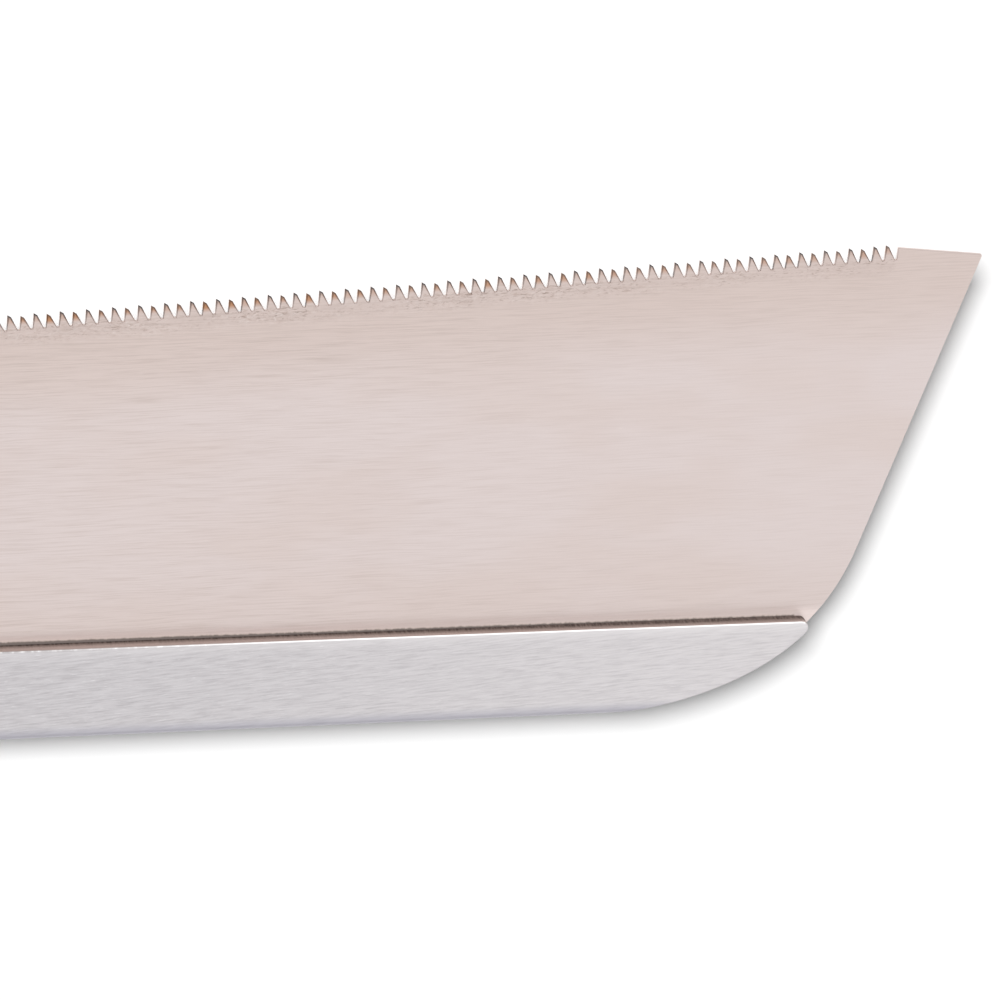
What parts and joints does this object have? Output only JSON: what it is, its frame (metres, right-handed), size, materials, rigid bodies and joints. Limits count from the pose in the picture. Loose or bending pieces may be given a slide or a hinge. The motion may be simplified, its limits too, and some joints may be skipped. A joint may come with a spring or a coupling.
{
  "type": "folding dozuki saw",
  "caption": "Pull saw with a thin toothed plate in a folded steel back, hinged on a clamped pivot so that the teeth fold into the slot of a wooden handle.",
  "frame": {"origin": "middle of the open saw's bounding box, on the surface that its lower side lies on", "axes": "+X along the saw to the toe, +Y to the teeth, +Z out of the upper side, where the wing nut is"},
  "size_m": [0.5814, 0.0608, 0.038],
  "materials": {
    "plate_steel": "fine lengthwise grind, warm tint",
    "spine_steel": "fine lengthwise grind, neutral",
    "liner_steel": "satin",
    "tool_steel": "ground, oiled",
    "bright_steel": "bright plated",
    "light_metal": "satin",
    "brass": "polished flush",
    "bronze": "turned",
    "hardwood": "oiled, open grain"
  },
  "bodies": {
    "handle": {"liner_lower": "liner_steel", "liner_upper": "liner_steel", "scale_lower": "hardwood", "scale_upper": "hardwood", "bolster_lower": "light_metal", "bolster_upper": "light_metal", "stop_block": "tool_steel", "back_spacer": "light_metal", "butt_block": "light_metal", "block_pin_1": "brass", "block_pin_2": "brass", "back_pin_1": "brass", "back_pin_2": "brass", "back_pin_3": "brass", "butt_pin": "brass", "pivot_bolt": "bright_steel", "friction_washer_lower": "bronze", "friction_washer_upper": "bronze", "nut_washer": "bright_steel", "spring_washer": "bright_steel"},
    "blade": {"saw_plate": "plate_steel", "folded_spine": "spine_steel", "heel_rivet_1": "brass", "heel_rivet_2": "brass", "heel_rivet_3": "brass", "pivot_bush": "bronze"},
    "lock": {"wing_nut": "bright_steel"}
  },
  "joints": [
    {"name": "blade_fold", "type": "hinge", "parent": "handle", "child": "blade", "pos_m": [0.01643, -0.00247, 0.0115], "axis": [0, 0, 1], "range_deg": [0, 176.79]},
    {"name": "wing_nut_turn", "type": "hinge", "parent": "handle", "child": "lock", "pos_m": [0.01643, -0.00247, 0.02], "axis": [0, 0, 1], "range_deg": [0, 180]}
  ]
}
